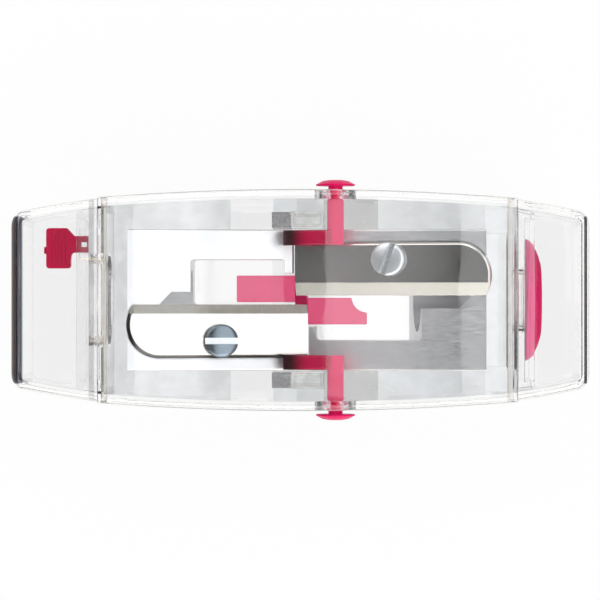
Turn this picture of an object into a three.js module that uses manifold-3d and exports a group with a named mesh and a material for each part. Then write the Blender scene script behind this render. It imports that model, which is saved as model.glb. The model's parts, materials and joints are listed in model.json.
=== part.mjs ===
// Two-hole cosmetic pencil sharpener in a clear container, lying on its back.
//
// Millimetres. +X runs along the barrel, from the end for wide pencils to the end for slim ones.
// +Z points up, out of the front face. The origin is under the middle of the back.
//
// Two magnesium wedge blocks lie back to back on a pink core, each with its own blade and screw.
// A clear insert frame carries them, and slides with them into the clear case from the right.
// The core's two sprung buttons stand out through the case's long sides and lock it in place.
// A clear cap slides over each end, and the left one covers a small cleaning tool.
import * as THREE from 'three';
import { mergeVertices } from 'three/addons/utils/BufferGeometryUtils.js';
import Module from 'manifold-3d';

const wasm = await Module();
wasm.setup();

// ---------------------------------------------------------------- driving dimensions

const LENGTH = 75.6;              // cap to cap
const DEPTH = 22;                 // back to front
const GAP = 0.3;                  // running gap between separate pieces
const FIT = 0.15;                 // gap between pieces that are pressed or screwed together

const CASE = {
  left: -26.5,                    // where the left cap meets the case
  right: 28.4,                    // where the right cap meets the case
  halfWidth: 14.5,                // at the middle of the barrel
  sideRadius: 337,                // the long sides are shallow arcs
  wall: 1.25,
  faceWall: 1.4,                  // front and back walls
  edge: 1,                        // rounding of the outer edges
};
const LEFT_WALL = { outer: -27.7, inner: -25.6 };
const RIGHT_WALL = { outer: 29.3, inner: 27.6 };
const SPIGOT = { left: -29.3, right: 30.6, wall: 0.9 };

const CAP = {
  step: 0.15,                     // the caps are this much smaller than the case all round
  wall: 1.2,
  endWall: 1.3,
  edge: 1,
  endHalfWidth: 11.4,
  corner: 1.8,                    // rounding of the end's upright corners
  bulge: 0.1,                     // how far a cap's side bows out of a straight line
};

const AXIS_Z = 10.9;              // height of both pencil bores
const CONE_ANGLE = THREE.MathUtils.degToRad(13.5);
const TIP_RADIUS = 0.8;           // bore radius at a block's inner end

const BLOCK = { halfWidth: 9.35, bottom: 2.6, rim: 0.5, edge: 0.25, windowCorner: 0.5 };
const WIDE = {                    // the block for wide pencils, at the left
  innerEnd: -1.2,
  length: 21.6,
  boreLimit: Infinity,
  window: 13.4,
  windowFoot: 13.4,               // the window's outer wall is upright
  throat: 15.9,
  blade: { inner: -1.95, outer: 22.45, bevel: 1.2 },
  screw: { s: 9.9, slotAngle: 0 },
};
const SLIM = {                    // the block for slim pencils, at the right
  innerEnd: 1,
  length: 23.4,
  boreLimit: 4.25,
  window: 14.9,
  windowFoot: 13.4,               // the window's outer wall slopes in towards the bottom
  throat: 20,
  blade: { inner: -1.7, outer: 24.85, bevel: 1.7 },
  screw: { s: 11.1, slotAngle: THREE.MathUtils.degToRad(70) },
};

const BLADE = { edgeV: 0.6, backV: 7.65, thickness: 0.6, endRadius: 4.43, endCentreV: 3.26 };
const SEAT_RADIUS = 4.58;         // rounded end of the recess that the blade lies in
const WINDOW_V = -5.4;            // far side of the chip window
const THROAT = { v: -1.1, slant: 1.6, step: 0.6 };   // the slot beyond the window

const SCREW = {
  v: 5.4, headRadius: 2.2, head: 1.3, dome: 0.35, shank: 1.3, length: 5.6, clearance: 0.25,
  tipChamfer: 0.3, slot: 0.85, slotDepth: 0.75,
};

const WEB = { x0: -0.9, x1: 0.7, y: 9.2, z0: 2.6, z1: 10.8, notch: 1.8 };
const ARM = { y0: 7.3, y1: 9.2, z0: 14.2, z1: 16.4, rootX0: -2.3, rootX1: -1, footZ: 12.8 };
const POST = { x0: 3.46, x1: 5.65, top: 13.1, neck: 0.95, corner: 0.98 };
const HEAD = { radius: 2.6, inner: 15.05, outer: 15.85, rim: 0.1, flat: 0.9 };
const BUTTON_HOLE = 2.8;
const CLIP = {
  z0: 2.6, z1: 5.3, edgeY: 0.3, farY: 3.3, wideX: -8.85, slimX: 8.7,
  shoulderX: 6.6, noseY: -1.7,    // the slim clip's nose is narrower past its shoulder
};

const RING = { x: 29.6, height: 2.3, radius: 8.1, hole: 4.2, lip: 0.35 };
const PENCIL_HOLES = { wide: 6.3, slim: 4.3 };

const TONGUE = { halfWidth: 9, z0: 1.6, z1: 2.3, margin: 1 };   // margin: round the chip window
const PAD = { x0: -4.05, step: -1.4, x1: 3, wall: 0.45, y0: 9.65, y1: 11.8, lowTop: 8, top: 12.5 };

const TOOL = {
  z: 15.6, thickness: 1.6, end: -33.6, shoulder: -30.35, tip: -27.95,
  y0: 4.16, y1: 9.49, stemY0: 6.24, stemY1: 8.43, corner: 0.5,
  ribs: 5, firstRib: 0.75, ribPitch: 0.45, ribWidth: 0.16, ribHeight: 0.1,
  nub: { proud: 0.3, y0: 6.1, y1: 7, height: 0.8 },
  eye: { x0: -28.95, x1: -28.15, y0: 6.98, y1: 7.62 },
  socketWall: 0.8, socketEnd: -29.2,
};

// ---------------------------------------------------------------- materials

function material(color, roughness, metalness, opacity = 1) {
  return new THREE.MeshStandardMaterial({
    color, roughness, metalness, opacity, transparent: opacity < 1,
  });
}
const clear = () => material(0xf4f8fa, 0.05, 0, 0.3);
const pink = () => material(0xe11f5f, 0.4, 0);
const magnesium = () => material(0xc9c9c7, 0.4, 0.9);
const steel = () => material(0xa9a8a5, 0.25, 1);
const zinc = () => material(0xd2d3d2, 0.3, 1);

// ---------------------------------------------------------------- solids

function toSolid(geometry) {
  const bare = geometry.clone();
  bare.deleteAttribute('normal');
  bare.deleteAttribute('uv');
  const merged = mergeVertices(bare);
  return new wasm.Manifold(new wasm.Mesh({
    numProp: 3,
    vertProperties: Float32Array.from(merged.attributes.position.array),
    triVerts: Uint32Array.from(merged.index.array),
  }));
}

function toGeometry(solid) {
  const mesh = solid.getMesh();
  const geometry = new THREE.BufferGeometry();
  geometry.setAttribute('position', new THREE.BufferAttribute(mesh.vertProperties, 3));
  geometry.setIndex(new THREE.BufferAttribute(mesh.triVerts, 1));
  geometry.computeVertexNormals();
  return geometry;
}

function named(name, solid, finish) {
  const mesh = new THREE.Mesh(toGeometry(solid), finish);
  mesh.name = name;
  return mesh;
}

const join = (...solids) => solids.reduce((sum, next) => sum.add(next));
const cut = (body, ...tools) => tools.reduce((rest, tool) => rest.subtract(tool), body);

function box(x0, x1, y0, y1, z0, z1) {
  const geometry = new THREE.BoxGeometry(x1 - x0, y1 - y0, z1 - z0);
  return toSolid(geometry.translate((x0 + x1) / 2, (y0 + y1) / 2, (z0 + z1) / 2));
}

// A flat outline raised from z0 to z1, with its edges rounded by edge.
function slab(shape, z0, z1, edge = 0, curveSegments = 16) {
  const geometry = new THREE.ExtrudeGeometry(shape, {
    depth: z1 - z0 - 2 * edge,
    bevelEnabled: edge > 0,
    bevelThickness: edge,
    bevelSize: edge,
    bevelOffset: -edge,
    bevelSegments: 3,
    curveSegments,
  });
  return toSolid(geometry.translate(0, 0, z0 + edge));
}

function roundedRectangle(x0, x1, y0, y1, corner) {
  const shape = new THREE.Shape();
  const quarter = Math.PI / 2;
  shape.moveTo(x0 + corner, y0);
  shape.lineTo(x1 - corner, y0);
  shape.absarc(x1 - corner, y0 + corner, corner, -quarter, 0, false);
  shape.absarc(x1 - corner, y1 - corner, corner, 0, quarter, false);
  shape.absarc(x0 + corner, y1 - corner, corner, quarter, 2 * quarter, false);
  shape.absarc(x0 + corner, y0 + corner, corner, 2 * quarter, 3 * quarter, false);
  return shape;
}

function cylinder(radius, length, segments = 40) {
  return new THREE.CylinderGeometry(radius, radius, length, segments);
}

function cylinderX(radius, x0, x1, y, z) {
  const geometry = cylinder(radius, x1 - x0).rotateZ(Math.PI / 2);
  return toSolid(geometry.translate((x0 + x1) / 2, y, z));
}

function cylinderY(radius, x, y0, y1, z) {
  return toSolid(cylinder(radius, y1 - y0).translate(x, (y0 + y1) / 2, z));
}

// A ring or disc turned round the Y axis from a closed outline of [radius, height] points.
function turned(points, segments = 48) {
  return new THREE.LatheGeometry(points.map(([r, h]) => new THREE.Vector2(r, h)), segments);
}

// ---------------------------------------------------------------- outlines of the case and caps

const caseHalfWidth = (x) => CASE.halfWidth - x * x / (2 * CASE.sideRadius);

// The left cap's and the right cap's sides close in from the case to the end, bowing out slightly.
function capHalfWidth(x) {
  const joint = x < 0 ? CASE.left : CASE.right;
  const start = caseHalfWidth(joint) - CAP.step;
  const along = (x - joint) / (Math.sign(x) * LENGTH / 2 - joint);
  return start + (CAP.endHalfWidth - start) * along + 4 * CAP.bulge * along * (1 - along);
}

// An outline between x0 and x1 whose half width is given by halfAt, drawn with even steps.
function barrel(x0, x1, halfAt, steps = 16) {
  const shape = new THREE.Shape();
  const xs = Array.from({ length: steps + 1 }, (_, i) => x0 + (x1 - x0) * i / steps);
  shape.moveTo(x0, -halfAt(x0));
  xs.slice(1).forEach((x) => shape.lineTo(x, -halfAt(x)));
  xs.reverse().forEach((x) => shape.lineTo(x, halfAt(x)));
  shape.closePath();
  return shape;
}

// A cap's outline from near its joint to its end, where the corners are rounded.
function capOutline(near, end, halfAt, corner) {
  const steps = 6;                // each step stays longer than the rounding of the edges
  const turn = end - Math.sign(end) * corner;
  const xs = Array.from({ length: steps + 1 }, (_, i) => near + (turn - near) * i / steps);
  const half = halfAt(end);
  const shape = new THREE.Shape();
  shape.moveTo(near, -halfAt(near));
  xs.slice(1).forEach((x) => shape.lineTo(x, -halfAt(x)));
  shape.quadraticCurveTo(end, -half, end, corner - half);
  shape.lineTo(end, half - corner);
  shape.quadraticCurveTo(end, half, turn, halfAt(turn));
  xs.reverse().slice(1).forEach((x) => shape.lineTo(x, halfAt(x)));
  shape.closePath();
  return shape;
}

// ---------------------------------------------------------------- case, insert frame and caps

const ordered = (a, b) => [Math.min(a, b), Math.max(a, b)];

// The short tube that a cap slides over, from inside the case's joint to its free end.
function spigot(wallFace, root, end) {
  const outerHalf = (x) => Math.min(capHalfWidth(x) - CAP.wall, caseHalfWidth(x) - CASE.wall) - FIT;
  const innerHalf = (x) => outerHalf(x) - SPIGOT.wall;
  const low = CASE.faceWall + FIT;
  const outer = slab(barrel(...ordered(root, end), outerHalf, 4), low, DEPTH - low);
  const past = end + Math.sign(end);
  const hollow = barrel(...ordered(wallFace, past), innerHalf, 4);
  return cut(outer, slab(hollow, low + SPIGOT.wall, DEPTH - low - SPIGOT.wall));
}

function caseBody() {
  const shell = slab(barrel(CASE.left, CASE.right, caseHalfWidth, 28), 0, DEPTH, CASE.edge);
  const inside = barrel(LEFT_WALL.inner, CASE.right + 1, (x) => caseHalfWidth(x) - CASE.wall, 28);
  const hollow = slab(inside, CASE.faceWall, DEPTH - CASE.faceWall);
  const buttonX = (POST.x0 + POST.x1) / 2;
  const buttonZ = (ARM.z0 + ARM.z1) / 2;
  return cut(
    join(
      cut(shell, hollow),
      spigot(LEFT_WALL.outer, LEFT_WALL.inner, SPIGOT.left),
      stemBox(TOOL.socketEnd, LEFT_WALL.outer + 0.1, TOOL.socketWall),
    ),
    cylinderX(PENCIL_HOLES.wide, SPIGOT.left - 1, LEFT_WALL.inner + 1, 0, AXIS_Z),
    cylinderY(BUTTON_HOLE, buttonX, -LENGTH / 2, LENGTH / 2, buttonZ),
    stemBox(TOOL.socketEnd - 1, TOOL.tip + FIT),
  );
}

// The room of the cleaning tool's stem from x0 to x1, larger by wall all round.
function stemBox(x0, x1, wall = 0) {
  const past = FIT + wall;
  const half = TOOL.thickness / 2 + past;
  return box(x0, x1, TOOL.stemY0 - past, TOOL.stemY1 + past, TOOL.z - half, TOOL.z + half);
}

// A pad beside the core: a low cup joined to a high one, both open at the top.
function pad(side) {
  const { x0, step, x1, y0, y1, wall, lowTop, top } = PAD;
  const across = ordered(side * y0, side * y1);
  const within = [across[0] + wall, across[1] - wall];
  return cut(
    join(
      box(x0, step + wall, ...across, TONGUE.z0, lowTop),
      box(step, x1, ...across, TONGUE.z0, top),
    ),
    box(x0 + wall, step, ...within, TONGUE.z1, top + 1),
    box(step + wall, x1 - wall, ...within, TONGUE.z1, top + 1),
  );
}

// The end plate closes the case at the right. Its tongue runs under the right block to the core,
// is open below the block's chip window, and carries a stepped pad on each side of the core.
function insertFrame() {
  const plate = spigot(RIGHT_WALL.outer, RIGHT_WALL.inner, SPIGOT.right);
  const hole = cylinderX(PENCIL_HOLES.slim, RIGHT_WALL.inner - 1, SPIGOT.right + 1, 0, AXIS_Z);
  const rooted = RIGHT_WALL.inner + 0.5;
  const tongue = box(PAD.x0, rooted, -TONGUE.halfWidth, TONGUE.halfWidth, TONGUE.z0, TONGUE.z1);
  const foot = box(PAD.x0, PAD.x1, -PAD.y1, PAD.y1, TONGUE.z0, TONGUE.z1);
  const { margin } = TONGUE;
  const slot = box(
    PAD.x1 + margin,
    SLIM.innerEnd + SLIM.window + margin,
    WINDOW_V - margin,
    -WINDOW_V,
    0,
    TONGUE.z1 + margin,
  );
  return join(cut(plate, hole), cut(tongue, slot), foot, pad(1), pad(-1));
}

function cap(side) {
  const joint = side < 0 ? CASE.left : CASE.right;
  const end = side * LENGTH / 2;
  const past = 4;                 // drawn past the joint, then trimmed square
  const near = joint - side * past;
  const shell = capOutline(near, end, capHalfWidth, CAP.corner);
  const outer = slab(shell, CAP.step, DEPTH - CAP.step, CAP.edge, 6);
  const roomHalf = (x) => capHalfWidth(x) - CAP.wall;
  const room = capOutline(near, end - side * CAP.endWall, roomHalf, CAP.corner - CAP.wall);
  const floor = CAP.step + CAP.wall;
  const inner = slab(room, floor, DEPTH - floor, 0, 6);
  const trim = ordered(joint, joint - side * 2 * past);
  return cut(outer, inner, box(...trim, -LENGTH, LENGTH, -1, DEPTH + 1));
}

// ---------------------------------------------------------------- blocks, blades and screws
//
// A block is drawn with u running outward from its inner end, v across towards the blade's back,
// and z up. On the blade's own slope, s runs up the slope and n stands off it.

const boreRadius = (u) => TIP_RADIUS + u * Math.tan(CONE_ANGLE);

// Moves a solid from the blade's slope (s, v, n) into the block's frame (u, v, z).
function ontoSlope(solid) {
  const degrees = -THREE.MathUtils.radToDeg(CONE_ANGLE);
  return solid.rotate([0, degrees, 0]).translate([0, 0, AXIS_Z + TIP_RADIUS]);
}

function bore(block) {
  const past = 2;
  const limit = Math.min(block.boreLimit, boreRadius(block.length + past));
  const turn = (limit - TIP_RADIUS) / Math.tan(CONE_ANGLE);
  const end = block.length + past;
  const profile = [[0, -past], [boreRadius(-past), -past], [limit, turn]];
  if (turn < end - 1e-3) profile.push([limit, end]);
  profile.push([0, end]);
  const geometry = turned(profile, 56).rotateZ(-Math.PI / 2);
  return toSolid(geometry.translate(0, 0, AXIS_Z));
}

// The recess that the blade lies in: straight from the inner end, with a half-round outer end.
function seatRecess(centreS) {
  const open = -5;                // runs out past the block's inner end
  const above = 4;
  const shape = new THREE.Shape();
  shape.moveTo(open, BLADE.endCentreV - SEAT_RADIUS);
  shape.lineTo(centreS, BLADE.endCentreV - SEAT_RADIUS);
  shape.absarc(centreS, BLADE.endCentreV, SEAT_RADIUS, -Math.PI / 2, Math.PI / 2, false);
  shape.lineTo(open, BLADE.endCentreV + SEAT_RADIUS);
  shape.closePath();
  return ontoSlope(slab(shape, 0, above));
}

// The window is cut straight down. Its outer wall may lean, from the block's top to its foot.
function chipWindow(block, topZ) {
  const opening = roundedRectangle(1, block.window, WINDOW_V, BLADE.edgeV, BLOCK.windowCorner);
  const lean = (block.window - block.windowFoot) / (topZ - BLOCK.bottom);
  const side = new THREE.Shape();
  side.moveTo(0, 0);
  side.lineTo(block.window - lean * topZ, 0);
  side.lineTo(block.window + lean * (DEPTH - topZ), DEPTH);
  side.lineTo(0, DEPTH);
  side.closePath();
  const leaning = slab(side, WINDOW_V - 1, BLADE.edgeV + 1).rotate([90, 0, 0]).mirror([0, 1, 0]);
  return slab(opening, 0, DEPTH, 0, 5).intersect(leaning);
}

// Past the window a slot opens the bore's top beside the cutting edge. Its outer end is slanted.
function throat(block) {
  const shape = new THREE.Shape();
  shape.moveTo(block.window - 1, THROAT.v);
  shape.lineTo(block.throat, THROAT.v);
  shape.lineTo(block.throat + THROAT.slant, BLADE.edgeV);
  shape.lineTo(block.window - 1, BLADE.edgeV);
  shape.closePath();
  return slab(shape, AXIS_Z, DEPTH);
}

function blockBody(block) {
  const top = (u) => AXIS_Z + boreRadius(u) + BLOCK.rim;
  const side = new THREE.Shape();
  side.moveTo(0, BLOCK.bottom);
  side.lineTo(block.length, BLOCK.bottom);
  side.lineTo(block.length, top(block.length));
  side.lineTo(0, top(0));
  side.closePath();
  const wedge = slab(side, -BLOCK.halfWidth, BLOCK.halfWidth, BLOCK.edge);
  const upright = wedge.rotate([90, 0, 0]);
  const notchV = CLIP.farY + GAP;
  const window = join(
    chipWindow(block, top(block.window)),
    box(-1, 2, -notchV, BLADE.edgeV, 0, DEPTH),
    box(block.window - 1, block.window + THROAT.step, THROAT.v, BLADE.edgeV, AXIS_Z, DEPTH),
  );
  const hole = toSolid(cylinder(SCREW.shank + SCREW.clearance, 2 * SCREW.length).rotateX(Math.PI / 2));
  const seatCentre = block.blade.outer - BLADE.endRadius;
  return cut(
    upright,
    bore(block),
    seatRecess(seatCentre),
    window,
    throat(block),
    ontoSlope(hole.translate([block.screw.s, SCREW.v, 0])),
  );
}

function blade(block) {
  const { inner, outer, bevel } = block.blade;
  const centre = outer - BLADE.endRadius;
  const start = Math.asin((BLADE.edgeV - BLADE.endCentreV) / BLADE.endRadius);
  const outline = new THREE.Shape();
  outline.moveTo(inner, BLADE.edgeV);
  outline.lineTo(centre + BLADE.endRadius * Math.cos(start), BLADE.edgeV);
  outline.absarc(centre, BLADE.endCentreV, BLADE.endRadius, start, Math.PI / 2, false);
  outline.lineTo(inner, BLADE.backV);
  outline.closePath();
  const section = new THREE.Shape();
  section.moveTo(BLADE.edgeV - 0.01, 0);
  section.lineTo(BLADE.backV + 0.1, 0);
  section.lineTo(BLADE.backV + 0.1, BLADE.thickness);
  section.lineTo(BLADE.edgeV + bevel, BLADE.thickness);
  section.closePath();
  const strip = slab(section, inner - 1, outer + 1).rotate([90, 0, 90]);
  const flat = slab(outline, 0, BLADE.thickness);
  const hole = toSolid(cylinder(SCREW.shank + SCREW.clearance, 4).rotateX(Math.PI / 2));
  const ground = cut(strip.intersect(flat), hole.translate([block.screw.s, SCREW.v, 0]));
  return ontoSlope(ground.translate([0, 0, FIT]));
}

function screw(block) {
  const base = FIT + BLADE.thickness + FIT;
  const top = base + SCREW.head;
  const steps = 8;
  const dome = Array.from({ length: steps + 1 }, (_, i) => {
    const across = Math.cos(Math.PI / 2 * i / steps);
    return [SCREW.headRadius * across, top - SCREW.dome * (1 - Math.sqrt(1 - across * across))];
  });
  dome[steps][0] = 0;
  const profile = [
    [0, base - SCREW.length],
    [SCREW.shank - SCREW.tipChamfer, base - SCREW.length],
    [SCREW.shank, base - SCREW.length + SCREW.tipChamfer],
    [SCREW.shank, base],
    [SCREW.headRadius, base],
    ...dome,
  ];
  const slot = box(-3, 3, -SCREW.slot / 2, SCREW.slot / 2, top - SCREW.slotDepth, top + 1);
  const angle = THREE.MathUtils.radToDeg(block.screw.slotAngle);
  const slotted = cut(toSolid(turned(profile, 48).rotateX(Math.PI / 2)), slot.rotate([0, 0, angle]));
  return ontoSlope(slotted.translate([block.screw.s, SCREW.v, 0]));
}

// One sharpener: its block, blade and screw, turned to face outward on its own side.
function sharpener(prefix, block, side) {
  const group = new THREE.Group();
  group.add(
    named(`${prefix}_block`, blockBody(block), magnesium()),
    named(`${prefix}_blade`, blade(block), steel()),
    named(`${prefix}_screw`, screw(block), zinc()),
  );
  group.position.x = block.innerEnd;
  group.rotation.z = side > 0 ? 0 : Math.PI;
  return group;
}

// ---------------------------------------------------------------- pink pieces

// The post of one side: it steps round the blades and carries the fixed end of the spring arm.
function armRoot(side) {
  const y = (a, b) => ordered(side * a, side * b);
  const columnY = BLADE.backV + FIT;
  return join(
    box(WEB.x0, WEB.x1, ...y(columnY, ARM.y1), WEB.z1 - 1, ARM.footZ + 0.5),
    box(ARM.rootX0, WEB.x1, ...y(ARM.y0, ARM.y1), ARM.footZ, ARM.z0 - GAP),
    box(ARM.rootX0, ARM.rootX1, ...y(ARM.y0, ARM.y1), ARM.footZ, ARM.z1),
  );
}

// The clips reach along the chip windows, under the bores, and hold the blocks to the web.
function wideClip() {
  return box(CLIP.wideX, WEB.x0 + 0.2, -CLIP.edgeY, CLIP.farY, CLIP.z0, CLIP.z1);
}

function slimClip() {
  const { shoulderX, noseY } = CLIP;
  const shape = new THREE.Shape();
  shape.moveTo(WEB.x1 - 0.2, -CLIP.farY);
  shape.lineTo(CLIP.slimX, -CLIP.farY);
  shape.lineTo(CLIP.slimX, noseY);
  shape.quadraticCurveTo(shoulderX + 0.3, noseY + 0.2, shoulderX, CLIP.edgeY);
  shape.lineTo(WEB.x1 - 0.2, CLIP.edgeY);
  shape.closePath();
  return slab(shape, CLIP.z0, CLIP.z1);
}

function core() {
  const web = box(WEB.x0, WEB.x1, -WEB.y, WEB.y, WEB.z0, WEB.z1);
  const tipRoom = join(
    cylinderX(WEB.notch, WEB.x0 - 1, WEB.x1 + 1, 0, AXIS_Z),
    box(WEB.x0 - 1, WEB.x1 + 1, -WEB.notch, WEB.notch, AXIS_Z, DEPTH),
  );
  return join(cut(web, tipRoom), armRoot(1), armRoot(-1), wideClip(), slimClip());
}

function springArm(side) {
  return box(ARM.rootX1 + GAP, POST.x0 - GAP, ...ordered(side * ARM.y0, side * ARM.y1), ARM.z0, ARM.z1);
}

function button(side) {
  const x = (POST.x0 + POST.x1) / 2;
  const z = (ARM.z0 + ARM.z1) / 2;
  const section = roundedRectangle(POST.x0, POST.x1, -ARM.z1, -ARM.z0, POST.corner);
  const post = slab(section, ARM.y0, POST.top, 0, 6).rotate([-90, 0, 0]);
  const neck = cylinderY(POST.neck, x, POST.top - 1, HEAD.inner + 0.2, z);
  const { radius, inner, outer, rim, flat } = HEAD;
  const outline = [
    [0, inner],
    [radius - rim, inner],
    [radius, inner + rim],
    [radius, inner + 2 * rim],
    [(radius + flat) / 2, outer - 1.5 * rim],
    [flat, outer],
    [0, outer],
  ];
  const lens = toSolid(turned(outline, 40));
  const upper = join(post, neck, lens.translate([x, 0, z]));
  return side > 0 ? upper : upper.mirror([0, 1, 0]);
}

function guideRing() {
  const steps = 12;
  const dome = RING.height / Math.sqrt(1 - (RING.hole / RING.radius) ** 2);
  const profile = [[RING.hole, 0], [RING.radius, 0]];
  const innerAngle = Math.acos((RING.hole + RING.lip) / RING.radius);
  for (let i = 1; i <= steps; i += 1) {
    const angle = innerAngle * i / steps;
    profile.push([RING.radius * Math.cos(angle), dome * Math.sin(angle)]);
  }
  profile.push([RING.hole, RING.height - RING.lip]);
  profile.push([RING.hole, 0]);
  const geometry = turned(profile, 64).rotateZ(-Math.PI / 2);
  return toSolid(geometry.translate(RING.x, 0, AXIS_Z));
}

function cleaningTool() {
  const { end, shoulder, tip, y0, y1, stemY0, stemY1, corner } = TOOL;
  const shape = new THREE.Shape();
  shape.moveTo(end + corner, y0);
  shape.lineTo(shoulder - corner, y0);
  shape.quadraticCurveTo(shoulder, y0, shoulder, y0 + corner);
  shape.lineTo(shoulder, stemY0 - 2 * corner);
  shape.quadraticCurveTo(shoulder, stemY0, shoulder + corner, stemY0);
  shape.lineTo(tip, stemY0);
  shape.lineTo(tip, stemY1);
  shape.lineTo(shoulder + corner, stemY1);
  shape.lineTo(shoulder - corner, y1);
  shape.lineTo(end + corner, y1);
  shape.quadraticCurveTo(end, y1, end, y1 - corner);
  shape.lineTo(end, y0 + corner);
  shape.quadraticCurveTo(end, y0, end + corner, y0);
  const half = TOOL.thickness / 2;
  const plate = slab(shape, TOOL.z - half, TOOL.z + half);
  const { nub, eye } = TOOL;
  const [low, high] = [TOOL.z - nub.height / 2, TOOL.z + nub.height / 2];
  const stub = box(end - nub.proud, end + nub.proud, nub.y0, nub.y1, low, high);
  const ribs = Array.from({ length: TOOL.ribs }, (_, i) => {
    const x = end + TOOL.firstRib + i * TOOL.ribPitch;
    const reach = half + TOOL.ribHeight;
    return box(x, x + TOOL.ribWidth, y0 + corner, y1 - corner, TOOL.z - reach, TOOL.z + reach);
  });
  return cut(join(plate, stub, ...ribs), box(eye.x0, eye.x1, eye.y0, eye.y1, 0, DEPTH));
}

// ---------------------------------------------------------------- the whole sharpener

const model = new THREE.Group();
model.add(
  named('case_body', caseBody(), clear()),
  named('insert_frame', insertFrame(), clear()),
  named('left_cap', cap(-1), clear()),
  named('right_cap', cap(1), clear()),
  named('core', core(), pink()),
  named('upper_spring_arm', springArm(1), pink()),
  named('lower_spring_arm', springArm(-1), pink()),
  named('upper_button', button(1), pink()),
  named('lower_button', button(-1), pink()),
  named('guide_ring', guideRing(), pink()),
  named('cleaning_tool', cleaningTool(), pink()),
  sharpener('left', WIDE, -1),
  sharpener('right', SLIM, 1),
);

export default model;
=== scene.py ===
# %% [markdown]
# # A clear two-hole sharpener for cosmetic pencils
# The real object is an assembly: a clear polystyrene case and caps around two magnesium wedge
# blocks, steel blades, screws, and a few pink polypropylene mouldings. Its construction is already
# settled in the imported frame. This lesson only gives each piece its finish, and builds finer
# meshes where the construction model is too plain. Everything is in metres, in the frame's axes:
# +X along the barrel, +Z out of the front face.

# %% Load the frame
import json
import math

import bmesh
import bpy
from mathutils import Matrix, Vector

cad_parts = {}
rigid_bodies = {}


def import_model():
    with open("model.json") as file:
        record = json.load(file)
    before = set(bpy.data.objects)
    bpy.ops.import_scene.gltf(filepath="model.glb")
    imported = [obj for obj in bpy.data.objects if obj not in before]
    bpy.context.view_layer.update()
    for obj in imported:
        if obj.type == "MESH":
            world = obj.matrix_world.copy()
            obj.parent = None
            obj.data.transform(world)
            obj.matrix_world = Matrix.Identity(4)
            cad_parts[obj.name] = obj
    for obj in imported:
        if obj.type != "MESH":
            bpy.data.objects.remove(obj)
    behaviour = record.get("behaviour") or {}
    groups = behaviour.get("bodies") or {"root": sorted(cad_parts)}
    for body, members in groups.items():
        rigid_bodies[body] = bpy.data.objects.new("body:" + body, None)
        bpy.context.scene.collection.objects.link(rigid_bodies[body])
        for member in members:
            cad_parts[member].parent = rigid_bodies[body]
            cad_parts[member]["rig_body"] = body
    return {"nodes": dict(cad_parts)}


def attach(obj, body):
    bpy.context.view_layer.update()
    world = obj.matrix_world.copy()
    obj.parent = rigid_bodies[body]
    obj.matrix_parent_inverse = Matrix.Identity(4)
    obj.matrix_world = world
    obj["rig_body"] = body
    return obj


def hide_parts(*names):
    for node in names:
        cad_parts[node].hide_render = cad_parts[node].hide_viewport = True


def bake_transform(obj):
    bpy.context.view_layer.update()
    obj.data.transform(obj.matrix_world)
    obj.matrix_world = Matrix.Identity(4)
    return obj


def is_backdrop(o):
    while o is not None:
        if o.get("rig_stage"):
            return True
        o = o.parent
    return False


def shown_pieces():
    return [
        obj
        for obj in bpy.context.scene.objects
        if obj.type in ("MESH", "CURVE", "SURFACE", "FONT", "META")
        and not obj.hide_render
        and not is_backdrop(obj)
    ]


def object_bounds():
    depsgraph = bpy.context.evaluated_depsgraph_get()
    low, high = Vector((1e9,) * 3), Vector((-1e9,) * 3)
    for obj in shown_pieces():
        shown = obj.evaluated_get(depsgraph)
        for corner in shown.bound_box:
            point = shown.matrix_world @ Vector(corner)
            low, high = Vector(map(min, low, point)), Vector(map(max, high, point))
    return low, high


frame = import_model()
cad_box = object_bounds()
MM = 0.001
nodes = frame["nodes"]
print("frame nodes:", ", ".join(sorted(nodes)))
print("overall size in mm:", [round((hi - lo) / MM, 1) for lo, hi in zip(*cad_box)])

# %% [markdown]
# ## The view
# The sharpener lies on its back and is seen from straight above, from a little to the right of
# its middle. A long lens keeps the perspective gentle. The camera could also be shifted sideways,
# but tipping it by a degree gives the same view and keeps the lens plain.

# %% Camera
FRAME_WIDTH = 78.2 * MM     # what the view spans across the front face
VIEW_DISTANCE = 500 * MM    # from the front face to the lens
VIEW_SIDE = 9.9 * MM        # how far the lens stands to the right
SENSOR = 36
NEAREST = 10 * MM           # nothing closer to the lens than this is drawn
BOUNCES = 32                # a ray crosses many clear walls before it gets out again

front = Vector((0, 0, cad_box[1][2]))
camera_data = bpy.data.cameras.new("view_camera")
camera_data.sensor_width = SENSOR
camera_data.lens = SENSOR * VIEW_DISTANCE / FRAME_WIDTH
camera_data.clip_start = NEAREST
camera = bpy.data.objects.new("view_camera", camera_data)
camera.location = front + Vector((VIEW_SIDE, 0, VIEW_DISTANCE))
camera.rotation_euler.y = math.atan2(VIEW_SIDE, VIEW_DISTANCE)
bpy.context.scene.collection.objects.link(camera)
bpy.context.scene.camera = camera
bpy.context.scene.view_settings.view_transform = "Standard"
bpy.context.scene.cycles.max_bounces = BOUNCES
bpy.context.scene.cycles.glossy_bounces = BOUNCES
bpy.context.scene.cycles.transmission_bounces = BOUNCES
print("lens in mm:", round(camera_data.lens, 1))

# %% [markdown]
# ## Colours and nodes
# A finish is written as a small graph of nodes. Two helpers are enough for all of them. One turns
# an sRGB hex value, as read from a swatch, into the linear colour that the renderer works in. The
# other adds one node with its settings and links.

# %% Helpers for finishes
def linear(hex_colour):
    """The linear colour, with an alpha of 1, of an sRGB hex value such as "E11F5F"."""
    channels = [int(hex_colour[i:i + 2], 16) / 255 for i in (0, 2, 4)]
    return (*(c / 12.92 if c <= 0.04045 else ((c + 0.055) / 1.055) ** 2.4 for c in channels), 1)


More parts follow.
